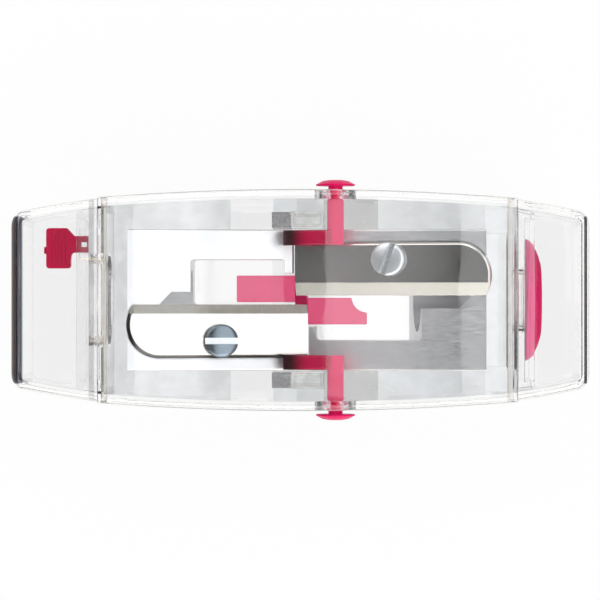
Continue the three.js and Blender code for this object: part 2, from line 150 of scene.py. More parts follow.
def add(tree, kind, values=None, **settings):
    """Adds one node: values fills its sockets, by a constant or by another node's output."""
    node = tree.nodes.new(kind)
    for name, value in settings.items():
        setattr(node, name, value)
    for socket, value in (values or {}).items():
        if isinstance(value, bpy.types.NodeSocket):
            tree.links.new(value, node.inputs[socket])
        else:
            node.inputs[socket].default_value = value
    return node


def new_finish(name):
    """An empty material, with its tree and its output node."""
    finish = bpy.data.materials.new(name)
    finish.use_nodes = True
    finish.node_tree.nodes.clear()
    return finish, finish.node_tree, add(finish.node_tree, "ShaderNodeOutputMaterial")


print("pure white turns to", linear("FFFFFF"), "and mid grey to", round(linear("808080")[0], 3))

# %% [markdown]
# ## Floor, backdrop and light
# The sharpener is shown on plain white. The floor is a white sheet that also takes a faint contact
# shadow: most of what the eye, a mirror or clear plastic sees of it is an even white of strength 1,
# and the rest is a real matt white that the lamps light and the object shades. A glowing floor
# alone would be simpler, but then nothing would seem to lie on it.

# %% Floor
FLOOR_SIZE = 6.0            # in metres, well past the edges of any view
FLOOR_DROP = 0.05 * MM      # keeps the floor off the back wall
EVEN_WHITE = 0.95           # the share of even white

floor_finish, tree, out = new_finish("matt_white_paper")
path = add(tree, "ShaderNodeLightPath")
seen = add(tree, "ShaderNodeMath",
           {0: path.outputs["Is Camera Ray"], 1: path.outputs["Is Glossy Ray"]},
           operation="MAXIMUM")
seen = add(tree, "ShaderNodeMath",
           {0: seen.outputs[0], 1: path.outputs["Is Transmission Ray"]}, operation="MAXIMUM")
share = add(tree, "ShaderNodeMath", {0: seen.outputs[0], 1: EVEN_WHITE}, operation="MULTIPLY")
paper = add(tree, "ShaderNodeBsdfDiffuse", {"Color": linear("F6F6F6")})
even = add(tree, "ShaderNodeEmission", {"Color": (1, 1, 1, 1), "Strength": 1.0})
mixed = add(tree, "ShaderNodeMixShader",
            {0: share.outputs[0], 1: paper.outputs[0], 2: even.outputs[0]})
tree.links.new(mixed.outputs[0], out.inputs["Surface"])

half = FLOOR_SIZE / 2
floor_mesh = bpy.data.meshes.new("paper_floor")
floor_mesh.from_pydata([(-half, -half, 0), (half, -half, 0), (half, half, 0), (-half, half, 0)],
                       [], [(0, 1, 2, 3)])
floor = bpy.data.objects.new("paper_floor", floor_mesh)
floor.location.z = -FLOOR_DROP
floor_mesh.materials.append(floor_finish)
bpy.context.scene.collection.objects.link(floor)
floor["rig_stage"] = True
print("floor:", floor.name, "with the finish", floor_finish.name)

# %% [markdown]
# The room is a studio that reads as white straight behind the object. What metal and clear plastic
# mirror is another matter, and it is what shows their shape: the room is dark overhead, a little
# paler low down at the left, paler to the right, and palest low down along both long sides. Cards
# and walls could be built for that, but a background that changes with direction does the same.

# %% World
ROOM_DARK = 0.09
ROOM_RIGHT = 0.35           # added towards +X
ROOM_LEFT = 0.15            # added low down towards -X
ROOM_SIDES = 0.55           # added low down towards +Y and -Y

world = bpy.data.worlds.new("studio")
bpy.context.scene.world = world
world.use_nodes = True
tree = world.node_tree
tree.nodes.clear()
direction = add(tree, "ShaderNodeTexCoord")
axes = add(tree, "ShaderNodeSeparateXYZ", {0: direction.outputs["Generated"]})
right = add(tree, "ShaderNodeMapRange",
            {"Value": axes.outputs["X"], "From Min": 0.0, "From Max": 0.9, "To Max": ROOM_RIGHT},
            interpolation_type="SMOOTHSTEP")
sideways = add(tree, "ShaderNodeMath", {0: axes.outputs["Y"]}, operation="ABSOLUTE")
sides = add(tree, "ShaderNodeMapRange", {
    "Value": sideways.outputs[0], "From Min": 0.35, "From Max": 0.95, "To Max": ROOM_SIDES,
}, interpolation_type="SMOOTHSTEP")
left = add(tree, "ShaderNodeMapRange",
           {"Value": axes.outputs["X"], "From Min": -0.75, "From Max": -0.98, "To Max": ROOM_LEFT},
           interpolation_type="SMOOTHSTEP")
level = add(tree, "ShaderNodeMath", {0: right.outputs[0], 1: sides.outputs[0]}, operation="ADD")
level = add(tree, "ShaderNodeMath", {0: level.outputs[0], 1: left.outputs[0]}, operation="ADD")
level = add(tree, "ShaderNodeMath", {0: level.outputs[0], 1: ROOM_DARK}, operation="ADD")
room = add(tree, "ShaderNodeBackground", {"Color": (1, 1, 1, 1), "Strength": level.outputs[0]})
backdrop = add(tree, "ShaderNodeBackground", {"Color": (1, 1, 1, 1), "Strength": 1.0})
path = add(tree, "ShaderNodeLightPath")
mixed = add(tree, "ShaderNodeMixShader",
            {0: path.outputs["Is Camera Ray"], 1: room.outputs[0], 2: backdrop.outputs[0]})
add(tree, "ShaderNodeOutputWorld", {"Surface": mixed.outputs[0]})
print("the room runs from", ROOM_DARK, "overhead to", ROOM_DARK + ROOM_SIDES, "along the sides")

# %% [markdown]
# Three soft boxes light the sharpener. The key box hangs to the right: the left blade's slope leans
# that way and mirrors it as near white, while the right blade's slope leans to the left and stays
# grey. The other two hang beyond the long sides and light what stands upright there.


# %% Soft boxes
def soft_box(name, lean, bearing, distance, along, across, radiance):
    """A lamp over the sharpener, leaning lean degrees from the zenith towards bearing (0 is +X).

    It faces the sharpener. Along is its length in the direction it leans, and across is its width.
    """
    data = bpy.data.lights.new(name, "AREA")
    data.shape = "RECTANGLE"
    data.size, data.size_y = along, across
    data.energy = radiance * along * across * math.pi
    lamp = bpy.data.objects.new(name, data)
    lamp.rotation_euler = (0, math.radians(lean), math.radians(bearing))
    lamp.location = lamp.rotation_euler.to_matrix() @ Vector((0, 0, distance))
    lamp.visible_camera = False
    bpy.context.scene.collection.objects.link(lamp)
    return lamp


soft_box("key_box", lean=30, bearing=0, distance=1.0, along=0.6, across=1.5, radiance=1.8)
soft_box("low_box", lean=52, bearing=-84, distance=1.0, along=0.7, across=1.1, radiance=2.1)
soft_box("high_box", lean=42, bearing=118, distance=1.0, along=0.5, across=0.9, radiance=1.9)
print("soft boxes:", ", ".join(light.name for light in bpy.data.lights))

# %% [markdown]
# The flat front of the case is a faint mirror, and it turns straight up. Four narrow panels hang
# there, beside and behind the lens. They light next to nothing, but each lays a pale veil with
# straight edges over a part of the case, which is what says that a clear wall is there. Painting
# the veils on the case would be easier, but they would then stay put when the case is turned.

# %% Overhead panels
PANEL_RISE = 2.0            # height above the front face
PANEL_RADIANCE = 1.3
FADED = 0.1                 # what is left of a fading panel at its end
PAST_THE_SIDES = 30         # in mm along Y, well past both long sides


def overhead_panel(name, first, last, fade_from=None, low=-PAST_THE_SIDES, high=PAST_THE_SIDES,
                   radiance=PANEL_RADIANCE):
    """A panel that the front face mirrors from first to last along X and low to high along Y.

    All four are in mm. From fade_from on, it fades out towards last.
    """
    grow = 1 + PANEL_RISE / VIEW_DISTANCE
    x0, x1 = (VIEW_SIDE + (x * MM - VIEW_SIDE) * grow for x in (first, last))
    y0, y1 = (y * MM * grow for y in (low, high))
    lamp = soft_box(name, 0, 0, PANEL_RISE + front.z, x1 - x0, y1 - y0, radiance)
    lamp.location.x, lamp.location.y = (x0 + x1) / 2, (y0 + y1) / 2
    if fade_from is not None:
        lamp.data.use_nodes = True
        tree = lamp.data.node_tree
        place = add(tree, "ShaderNodeNewGeometry")
        along = add(tree, "ShaderNodeSeparateXYZ", {0: place.outputs["Parametric"]})
        start = (fade_from - first) / (last - first)
        fade = add(tree, "ShaderNodeMapRange", {
            "Value": along.outputs["X"], "From Min": start, "From Max": 1.0,
            "To Min": 1.0, "To Max": FADED,
        })
        tree.nodes["Emission"].inputs["Strength"].default_value = 1.0
        tree.links.new(fade.outputs["Result"], tree.nodes["Emission"].inputs["Strength"])


overhead_panel("left_panel", -21.8, -11.4, fade_from=-13.6)
overhead_panel("window_panel", -11.4, -1.9, low=-0.6, high=9.0, radiance=0.8)
overhead_panel("middle_panel", 3.1, 20.6, fade_from=12.0)
overhead_panel("right_panel", 21.1, 28.6)
print("lamps in all:", len(bpy.data.lights))

# %% [markdown]
# ## Finer copies of the construction pieces
# The frame's meshes have razor-sharp edges, and no real moulding or milled block does. Each piece
# is therefore rebuilt as a finer copy: its corners are welded, flat areas are made whole again, and
# every sharp edge is rounded by a small real radius. A Bevel modifier could do the rounding, but
# working on the mesh gives the same edges to the render and to the finished model.

# %% Helpers for finer copies
SMOOTH_BELOW = math.radians(32)     # faces that meet at less than this are one surface
FLAT_WITHIN = math.radians(0.1)     # and at less than this, one flat face
WELD = 0.001 * MM                   # corners closer than this are one corner
ROUNDING_STEPS = 2
ROLL_STEPS = 9


def cut_at(source, cuts):
    """Splits the faces of a bmesh along upright planes, given as (axis, place in mm)."""
    for axis, place in cuts:
        normal = Vector([float(i == "xyz".index(axis)) for i in range(3)])
        bmesh.ops.bisect_plane(source, geom=source.verts[:] + source.edges[:] + source.faces[:],
                               plane_co=normal * place * MM, plane_no=normal, dist=WELD)


def finer(node, finish, rounding, cuts=(), zones=(), rolled=None, reshape=None,
          smooth_below=SMOOTH_BELOW):
    """Replaces a frame node by a copy with edges rounded by rounding, in mm.

    Zones are (finish, test) pairs: a face takes the first finish whose test of its centre in mm
    and its normal is true. Cuts split faces so that a zone can end inside one. Rolled is
    (radius in mm, test of an edge) for edges with a larger rounding. Reshape moves corners first.
    Faces that meet at less than smooth_below are shaded as one surface, unless their finishes
    differ.
    """
    mesh = bpy.data.meshes.new(node)
    source = bmesh.new()
    source.from_mesh(nodes[node].data)
    bmesh.ops.remove_doubles(source, verts=source.verts, dist=WELD)
    bmesh.ops.dissolve_limit(source, angle_limit=FLAT_WITHIN, verts=source.verts,
                             edges=source.edges)
    if reshape:
        reshape(source)
    cut_at(source, cuts)
    if rolled:
        radius, is_rolled = rolled
        bmesh.ops.bevel(source, geom=[e for e in source.edges if is_rolled(e)],
                        offset=radius * MM, offset_type="OFFSET", segments=ROLL_STEPS,
                        profile=0.5, affect="EDGES", clamp_overlap=False)
    sharp = [e for e in source.edges if e.is_manifold and e.calc_face_angle(0) > SMOOTH_BELOW]
    bmesh.ops.bevel(source, geom=sharp, offset=rounding * MM, offset_type="OFFSET",
                    segments=ROUNDING_STEPS, profile=0.5, affect="EDGES", clamp_overlap=True)
    for face in source.faces:
        face.smooth = True
        centre = face.calc_center_median() / MM
        hits = [i for i, (_, test) in enumerate(zones, 1) if test(centre, face.normal)]
        face.material_index = hits[0] if hits else 0
    for edge in source.edges:
        crisp = len({face.material_index for face in edge.link_faces}) > 1
        edge.smooth = not crisp and edge.calc_face_angle(math.pi) < smooth_below
    source.to_mesh(mesh)
    source.free()
    piece = bpy.data.objects.new(f"{node}_fine", mesh)
    bpy.context.scene.collection.objects.link(piece)
    for each in (finish, *(zone for zone, _ in zones)):
        mesh.materials.append(each)
    even_shading = piece.modifiers.new("even_shading", "WEIGHTED_NORMAL")
    even_shading.keep_sharp = True
    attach(piece, nodes[node]["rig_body"])
    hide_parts(node)
    print(f"{node}: {len(mesh.polygons)} faces")


# %% [markdown]
# ## Clear polystyrene
# The case, its insert frame and the two caps are injection moulded in crystal polystyrene. It is
# as clear as glass and bends light more, with an index of 1.59. Handling leaves a haze of very
# fine marks, and moulding leaves the walls very slightly wavy. Real marks are far too fine to show
# one by one, so the haze is drawn in patches of a millimetre or more. Lamps shine through it, which
# a renderer can't find by itself, so lamp rays pass straight through with a small loss. A plain
# glass shader would do for the clear parts, but this one can also be frosted and tinted.

# %% Clear polystyrene
FLOW_MM = 9                 # how far apart the waves of the walls are


def clear_polystyrene(name="clear_polystyrene", tint="FFFFFF", haze_mm=2.5, least=0.0, most=0.035,
                      cloud=None, cloud_mm=3.0, ior=1.59):
    """Clear polystyrene, or a frosted part of it whose tint drifts between tint and cloud.

    Haze_mm is the size of the haze's patches, and least and most are the roughness between them.
    """
    finish, tree, out = new_finish(name)
    place = add(tree, "ShaderNodeTexCoord")
    flow = add(tree, "ShaderNodeTexNoise",
               {"Vector": place.outputs["Object"], "Scale": 1 / (FLOW_MM * MM), "Detail": 1.0})
    waves = add(tree, "ShaderNodeBump",
                {"Height": flow.outputs["Fac"], "Strength": 0.05, "Distance": 0.1 * MM})
    haze = add(tree, "ShaderNodeTexNoise",
               {"Vector": place.outputs["Object"], "Scale": 1 / (haze_mm * MM), "Detail": 5.0})
    rough = add(tree, "ShaderNodeMapRange", {
        "Value": haze.outputs["Fac"], "From Min": 0.35, "From Max": 0.75,
        "To Min": least, "To Max": most,
    })
    drift = add(tree, "ShaderNodeTexNoise",
                {"Vector": place.outputs["Object"], "Scale": 1 / (cloud_mm * MM), "Detail": 4.0})
    drift = add(tree, "ShaderNodeMapRange",
                {"Value": drift.outputs["Fac"], "From Min": 0.35, "From Max": 0.65})
    shade = add(tree, "ShaderNodeMix", {
        "Factor": drift.outputs["Result"], "A": linear(tint), "B": linear(cloud or tint),
    }, data_type="RGBA")
    plastic = add(tree, "ShaderNodeBsdfPrincipled", {
        "Base Color": shade.outputs["Result"], "IOR": ior, "Transmission Weight": 1.0,
        "Roughness": rough.outputs["Result"], "Normal": waves.outputs["Normal"],
    })
    through = add(tree, "ShaderNodeBsdfTransparent", {"Color": linear("F2F5F6")})
    path = add(tree, "ShaderNodeLightPath")
    mixed = add(tree, "ShaderNodeMixShader",
                {0: path.outputs["Is Shadow Ray"], 1: plastic.outputs[0], 2: through.outputs[0]})
    tree.links.new(mixed.outputs[0], out.inputs["Surface"])
    return finish


# Moulded against polished steel: nearly invisible but for its bright and dark edges.
CLEAR = clear_polystyrene()
# The caps. Four thin faces lie in a row there and dim the white behind them, so the index is
# brought down from 1.59 to 1.47, until they are as pale as the real ones.
THIN_CLEAR = clear_polystyrene("thin_clear_polystyrene", ior=1.47)

# %% [markdown]
# Parts of the mould are spark eroded instead of polished, and those parts come out frosted. How
# dark a frosted field looks depends on what lies behind it, and much of that is shade: the narrow
# room beside the blocks and the pads' cups lie in shade, so each field's grey is painted shade as
# well as frosting. One grey could serve them all, but the real fields differ plainly, so each has
# its own pair of greys to drift between.

# %% Frosted polystyrene
# Beside the right block and the pads' high steps: a soft mid grey, painted shade over the frost.
FROST_AND_SHADE = clear_polystyrene("frosted_polystyrene", "B2B6B9", 1.0, 0.12, 0.3, "C6CBD0")
# Beside the left block, more finely eroded: a pale, cool grey, painted shade over the frost.
LEFT_FROST_AND_SHADE = clear_polystyrene("finely_frosted_polystyrene", "C8CBCE", 1.0, 0.1, 0.25, "DFE3E7")
# Beside the pads' low steps and at the right end: the palest grey, painted shade over the frost.
LIGHT_FROST_AND_SHADE = clear_polystyrene("lightly_frosted_polystyrene", "CCD1D6", 1.0, 0.1, 0.25, "DDE1E5")
# Just right of the pads: the darkest field, painted shade over the frost.
DEEPEST_FROST_SHADE = clear_polystyrene("deep_frosted_polystyrene", "848485", 1.0, 0.12, 0.3, "949494")
# The pads' low steps: dark, painted shade of the cup that the eye looks down into.
CUP_FROST_SHADE = clear_polystyrene("dark_frosted_polystyrene", "525154", 1.0, 0.15, 0.35, "6E6D70", 1.0)
# The pads' high steps: a pale, faintly greenish grey, painted shade over the frost.
PALE_FROST_AND_SHADE = clear_polystyrene("pale_frosted_polystyrene", "A9ADAC", 1.0, 0.12, 0.3, "D4D8D4", 1.5)

# %% [markdown]
# Looked at edge-on, clear plastic takes on a colour, as a sheet of glass does. A renderer could
# work that out from the plastic's absorption, but the walls are so thin that it would hardly show,
# so the faces seen edge-on are tinted instead.

# %% Tinted edges
# The left cap's end wall, seen through its whole height: a near-black brown line of painted shade,
DARK_END_SHADE = clear_polystyrene("smoky_end", "120D0B", 1.0, 0.02, 0.1)
# with a bluish one of painted shade inside it.
BLUISH_END_SHADE = clear_polystyrene("bluish_end", "4C505C", 1.0, 0.02, 0.1)
# The long sides, from outside: faintly cream.
CREAM = clear_polystyrene("cream_edge", "DFDACC", 2.5, 0.0, 0.03)
# Above the end walls: light tan.
TAN = clear_polystyrene("tan_band", "CFC6BC", 1.0, 0.02, 0.08, "E0DBD4")
# The left cap's rim: a cool grey.
GREYISH = clear_polystyrene("greyish_band", "B4B7BC", 1.0, 0.02, 0.08, "C6C6C8")
# The pencil holes' edges: pale and even. Their index is brought down to 1.2, or they would bend the
# cream sides into view as brown patches.
CUT_EDGE = clear_polystyrene("cut_edge", "F6F5F4", 1.0, 0.05, 0.2, ior=1.2)
# The button holes' edges, flushed by the pink that shines into them.
FLUSHED = clear_polystyrene("flushed_edge", "FFC4D6", 1.0, 0.1, 0.25)
tints = (DARK_END_SHADE, BLUISH_END_SHADE, CREAM, TAN, GREYISH, CUT_EDGE, FLUSHED)
print("tinted finishes:", ", ".join(finish.name for finish in tints))

# %% [markdown]
# ## The case
# The back wall is not polished all over. Beside the blocks its inside is frosted, and the
# shavings' room looks grey there: that grey is painted shade as well as frosting. Behind the blocks
# it is clear, so that their chip windows show the white that the sharpener lies on. The fields end
# along straight lines, so the wall is cut along those lines and each face is told which field it
# is in. A painted mask would need a map of the wall. A cut wall keeps its fields in the exported
# model as well.

# %% Frosted fields of the back wall
BLOCKS_Y = 9.3              # half the width of the clear field behind the blocks
PADS_Y = 11.9               # the insert frame's foot reaches this far
LEFT_END_X = -22.5          # left of this the whole back wall is finely frosted,
LEFT_FIELD_X = -9.8         # and beside the left block up to here
DEEP_X = (2.8, 10.2)
RIGHT_FIELD_X = 24.7        # the right block's field ends here, and the light end begins
SPLIT_X = -5.3              # no field ends here: the cut only keeps the faces shorter
LIGHT_BY_PADS_X = (-4.0, -0.8)
BACK_WALL_Z = (1.2, 1.5)    # its inside lies between these


# These tests mark each field both for its frosting and for the shade painted into its grey.
def on_back_wall(centre, normal):
    return normal.z > 0.9 and BACK_WALL_Z[0] < centre.z < BACK_WALL_Z[1]


def frosted(centre, normal):
    x, y = centre.x, abs(centre.y)
    beside = y > BLOCKS_Y and DEEP_X[1] < x < RIGHT_FIELD_X
    by_pads = y > PADS_Y and LIGHT_BY_PADS_X[1] < x < DEEP_X[0]
    return on_back_wall(centre, normal) and (beside or by_pads)


def finely_frosted(centre, normal):
    beside = abs(centre.y) > BLOCKS_Y and centre.x < LEFT_FIELD_X
    return on_back_wall(centre, normal) and (beside or centre.x < LEFT_END_X)


def lightly_frosted(centre, normal):
    low, high = LIGHT_BY_PADS_X
    by_pads = abs(centre.y) > PADS_Y and low < centre.x < high
    return on_back_wall(centre, normal) and (by_pads or centre.x > RIGHT_FIELD_X)


def deepest_shade_field(centre, normal):
    beside = abs(centre.y) > BLOCKS_Y and DEEP_X[0] < centre.x < DEEP_X[1]
    return on_back_wall(centre, normal) and beside


print("the deep field is", round(DEEP_X[1] - DEEP_X[0], 1), "mm long")

# %% [markdown]
# The rest of the case is clear, apart from what is seen edge-on: the holes, the long sides, and the
# front above each end wall.

# %% Case
TAN_X = (-26.0, -25.2)      # the front above the left end wall
TAN_RIGHT_X = (27.0, 27.9)  # and above the right one
FRONT_Z = 15                # faces that look up from above this belong to the front
AXIS = Vector((0, 10.9))    # Y and Z of the pencil bores
PENCIL_HOLE_REACH = 6.6     # just past the wide hole's radius
END_WALLS_X = 25            # both end walls lie further out than this
BUTTON_X = 4.55
BUTTON_HOLE_REACH = 2.9     # just past a button hole's radius
BUTTON_HOLE_Z = (12, 19)
SIDES_Y = 12.9              # both long sides lie further out than this


def pencil_hole(centre, normal):
    round_axis = (centre.yz - AXIS).length < PENCIL_HOLE_REACH
    return abs(centre.x) > END_WALLS_X and abs(normal.x) < 0.5 and round_axis


def button_hole(centre, normal):
    in_side = abs(centre.y) > SIDES_Y and abs(normal.y) < 0.7
    near = abs(centre.x - BUTTON_X) < BUTTON_HOLE_REACH
    return in_side and near and BUTTON_HOLE_Z[0] < centre.z < BUTTON_HOLE_Z[1]


def side_wall(centre, normal):
    """True for outer faces only: they look away from the middle."""
    return abs(normal.y) > 0.8 and centre.y * normal.y > 0


def front_strip(low, high):
    def test(centre, normal):
        return normal.z > 0.5 and centre.z > FRONT_Z and low < centre.x < high
    return test


fields_x = (LEFT_END_X, LEFT_FIELD_X, SPLIT_X, *DEEP_X, RIGHT_FIELD_X, *LIGHT_BY_PADS_X)
finer("case_body", CLEAR, rounding=0.15,
      cuts=[("x", x) for x in (*fields_x, *TAN_X, *TAN_RIGHT_X)]
      + [("y", y) for y in (-PADS_Y, -BLOCKS_Y, BLOCKS_Y, PADS_Y)],
      zones=[(FROST_AND_SHADE, frosted), (LEFT_FROST_AND_SHADE, finely_frosted), (LIGHT_FROST_AND_SHADE, lightly_frosted),
             (DEEPEST_FROST_SHADE, deepest_shade_field), (CUT_EDGE, pencil_hole), (FLUSHED, button_hole),
             (TAN, front_strip(*TAN_X)), (TAN, front_strip(*TAN_RIGHT_X)), (CREAM, side_wall)])

# %% [markdown]
# The insert frame closes the case at the right and carries the blocks. Beside the core it has a
# stepped cup on each side. Only the faces that look up are frosted and given painted shade, so the
# cups' thin walls still draw clear lines round them.

# %% Insert frame
PAD_STEP_X = -1.4           # where a pad's low step meets its high one
PADS_X = (-6, 3.2)          # the pads lie between these
FOOT_Z = 2.2                # faces below this belong to the foot's underside


def pad(low, high):
    def test(centre, normal):
        beside = abs(centre.y) > BLOCKS_Y and low < centre.x < high
        return normal.z > 0.5 and beside and centre.z > FOOT_Z
    return test


finer("insert_frame", CLEAR, rounding=0.1,
      zones=[(CUP_FROST_SHADE, pad(PADS_X[0], PAD_STEP_X)), (PALE_FROST_AND_SHADE, pad(PAD_STEP_X, PADS_X[1])),
             (CUT_EDGE, pencil_hole)])

# %% [markdown]
# Seen from the front, the eye looks down through the full height of each cap's end wall, and it
# reads dark there. That darkness is painted shade: a brown line at the very end of the left cap
# with a bluish one inside it, and a thin dark line on the right cap. Along the sides the same depth
# turns faintly cream. The lines lie on the front face, where they are seen, and stop at the side
# walls.

# %% Caps
DARK_END_SHADE_X = 36.85             # the brown line runs from here to the left cap's end
BLUISH_X = 36.25            # and the bluish one up to it
RIGHT_LINE_X = (37.0, 37.4)
GREYISH_X = (-27.6, -26.9)  # the left cap's rim, seen through its whole height
BETWEEN_SIDES = 10.9        # the lines stop at the side walls
PAST_THE_END = 38


def front_band(low, high, side):
    def test(centre, normal):
        in_line = low < side * centre.x < high and abs(centre.y) < BETWEEN_SIDES
        return in_line and normal.z > 0.1 and centre.z > FRONT_Z
    return test


sides = [("y", -BETWEEN_SIDES), ("y", BETWEEN_SIDES)]
finer("left_cap", THIN_CLEAR, rounding=0.15,
      cuts=[("x", x) for x in (-DARK_END_SHADE_X, -BLUISH_X, *GREYISH_X)] + sides,
      zones=[(DARK_END_SHADE, front_band(DARK_END_SHADE_X, PAST_THE_END, -1)),
             (BLUISH_END_SHADE, front_band(BLUISH_X, DARK_END_SHADE_X, -1)),
             (GREYISH, front_strip(*GREYISH_X)), (CREAM, side_wall)])
finer("right_cap", THIN_CLEAR, rounding=0.15,
      cuts=[("x", x) for x in RIGHT_LINE_X] + sides,
      zones=[(DARK_END_SHADE, front_band(*RIGHT_LINE_X, 1)), (CREAM, side_wall)])

# %% [markdown]
# ## Pink polypropylene
# The core, its buttons, the guide ring and the cleaning tool are moulded in hot pink polypropylene.
# It is satin rather than glossy, and lets a little light into the surface, which keeps its shadows
# warm. The mould's spark-eroded grain shows as a fine unevenness. Real grain is about a tenth of a
# millimetre across, too fine to show, so it is drawn at a quarter of one.

# %% Pink polypropylene
CLOUD_MM = 4                # the colour drifts over this distance
DULLER = 0.86               # down to this share of itself


def pink_polypropylene(name, colour, grain_mm=0.25, grain_depth=0.01, roughness=0.2, glow=0.0,
                       root=None, gloss=0.4):
    """Moulded polypropylene.

    Glow is how much light passes through. Root is (colour, from X, to X) in mm: a painted shade
    that darkens a piece towards its root.
    """
    finish, tree, out = new_finish(name)
    place = add(tree, "ShaderNodeTexCoord")
    grain = add(tree, "ShaderNodeTexNoise",
                {"Vector": place.outputs["Object"], "Scale": 1 / (grain_mm * MM), "Detail": 3.0})
    cloud = add(tree, "ShaderNodeTexNoise",
                {"Vector": place.outputs["Object"], "Scale": 1 / (CLOUD_MM * MM), "Detail": 2.0})
    duller = tuple(DULLER * c for c in linear(colour)[:3]) + (1,)
    shade = add(tree, "ShaderNodeMix", {
        "Factor": cloud.outputs["Fac"], "A": linear(colour), "B": duller,
    }, data_type="RGBA")
    if root:
        axes = add(tree, "ShaderNodeSeparateXYZ", {0: place.outputs["Object"]})
        along = add(tree, "ShaderNodeMapRange", {
            "Value": axes.outputs["X"], "From Min": root[1] * MM, "From Max": root[2] * MM,
        }, interpolation_type="SMOOTHSTEP")
        shade = add(tree, "ShaderNodeMix", {
            "Factor": along.outputs["Result"], "A": linear(root[0]), "B": shade.outputs["Result"],
        }, data_type="RGBA")
    relief = add(tree, "ShaderNodeBump",
                 {"Height": grain.outputs["Fac"], "Strength": 0.35, "Distance": grain_depth * MM})
    rough = add(tree, "ShaderNodeMapRange", {
        "Value": grain.outputs["Fac"], "From Min": 0.3, "From Max": 0.7,
        "To Min": roughness - 0.06, "To Max": roughness + 0.08,
    })
    plastic = add(tree, "ShaderNodeBsdfPrincipled", {
        "Base Color": shade.outputs["Result"], "IOR": 1.49, "Roughness": rough.outputs["Result"],
        "Normal": relief.outputs["Normal"], "Subsurface Weight": 0.15, "Transmission Weight": glow,
        "Specular IOR Level": gloss,
        "Subsurface Radius": (1.0, 0.25, 0.3), "Subsurface Scale": 0.6 * MM,
    })
    tree.links.new(plastic.outputs[0], out.inputs["Surface"])
    return finish


# The core and the buttons: full, slightly cool pink with a broad sheen.
PINK = pink_polypropylene("pink_polypropylene", "F00868", roughness=0.35, gloss=0.2)
# The clips are thin, with white behind them: they let light through, and their paler pink is
# painted light, standing in for the white that shines through.
THIN_BACKLIT_PINK = pink_polypropylene("thin_pink_polypropylene", "FF5E90", roughness=0.16, glow=0.95,
                               gloss=0.3)
# The cleaning tool: glossier, with its pink painted down to a deeper crimson as shade.
SHADED_CRIMSON = pink_polypropylene("crimson_polypropylene", "C40642")
# The arms: the core's pink painted down to crimson as shade, and painted nearly black where their
# root dips into the core's shade.
SHADED_ARM_PINK = pink_polypropylene("arm_pink_polypropylene", "C40A48", root=("30060F", -1.6, 1.2),
                              gloss=0.25)
# The guide ring's smooth inner half: a paler pink, a painted sheen that stands in for the light its
# smooth face reflects.
SHEEN_PINK = pink_polypropylene("pale_pink_polypropylene", "FF5C98", roughness=0.4, gloss=0.2)
# The ring's domed face: spark eroded, so deep crimson and matt with a coarse grain.
ERODED = pink_polypropylene("spark_eroded_crimson", "E0065E", grain_mm=0.35, grain_depth=0.12,
                            roughness=0.75, gloss=0.15)
pinks = (PINK, THIN_BACKLIT_PINK, SHADED_CRIMSON, SHADED_ARM_PINK, SHEEN_PINK, ERODED)
print("pink finishes:", ", ".join(finish.name for finish in pinks))

# %% [markdown]
# The pink pieces are finer copies like the others. The core loses the tops of its two arm roots,
# because the flexing strips of the next step cover them. Its clips reach under the blocks, and the
# guide ring changes from smooth to eroded along a circle.

# %% Pink pieces
ROOT_TOP = 14.2             # the arms' roots are lowered to here
ROOTS_Y = 7                 # and lie further out than this
CLIPS_Z = 5.5               # the clips lie below this
ERODED_X = 30.75            # the ring is eroded beyond this


def lower_roots(source):
    for vertex in source.verts:
        if vertex.co.z > ROOT_TOP * MM and abs(vertex.co.y) > ROOTS_Y * MM:
            vertex.co.z = ROOT_TOP * MM


def clip(centre, normal):
    return centre.z < CLIPS_Z


def eroded(centre, normal):
    return centre.x > ERODED_X


finer("core", PINK, rounding=0.15, reshape=lower_roots, zones=[(THIN_BACKLIT_PINK, clip)])
finer("upper_button", PINK, rounding=0.15)
finer("lower_button", PINK, rounding=0.15)
finer("cleaning_tool", SHADED_CRIMSON, rounding=0.12)
finer("guide_ring", SHEEN_PINK, rounding=0.15, cuts=[("x", ERODED_X)], zones=[(ERODED, eroded)])

# %% [markdown]
# ## The flexing arms
# On the real moulding each button is joined to the core by a thin arm that bends when the button
# is pressed. The construction has a short rigid bar there. A strip takes its place: it springs from
# the core's root, runs level beside the blade, and grows into the button's post. A curve with a
# bevel could make it, but its section changes along the way, so it is drawn as a row of rounded
# rectangles.

# %% Spring arms
# All in mm: its two ends along X, its sides at either end, its top, and its height there.
STRIP = {
    "x0": -2.35, "x1": 4.0, "inner0": 7.2, "inner1": 7.3, "outer": 9.22, "top": 16.4, "depth": 2.2,
}
STRIP_LEVEL_FROM = 2.0      # from here on the strip runs level
STRIP_FALL = 1.3            # how far it has fallen at its root
STRIP_STEPS = 24
STRIP_CORNER = 0.3


def rounded_section(y0, y1, z0, z1, corner, steps=4):
    """The corners' arcs of a rectangle, as (y, z) points round it."""
    centres = [(y1 - corner, z1 - corner), (y0 + corner, z1 - corner),
               (y0 + corner, z0 + corner), (y1 - corner, z0 + corner)]
    points = []
    for quarter, (y, z) in enumerate(centres):
        for step in range(steps + 1):
            angle = math.pi / 2 * (quarter + step / steps)
            points.append((y + corner * math.cos(angle), z + corner * math.sin(angle)))
    return points


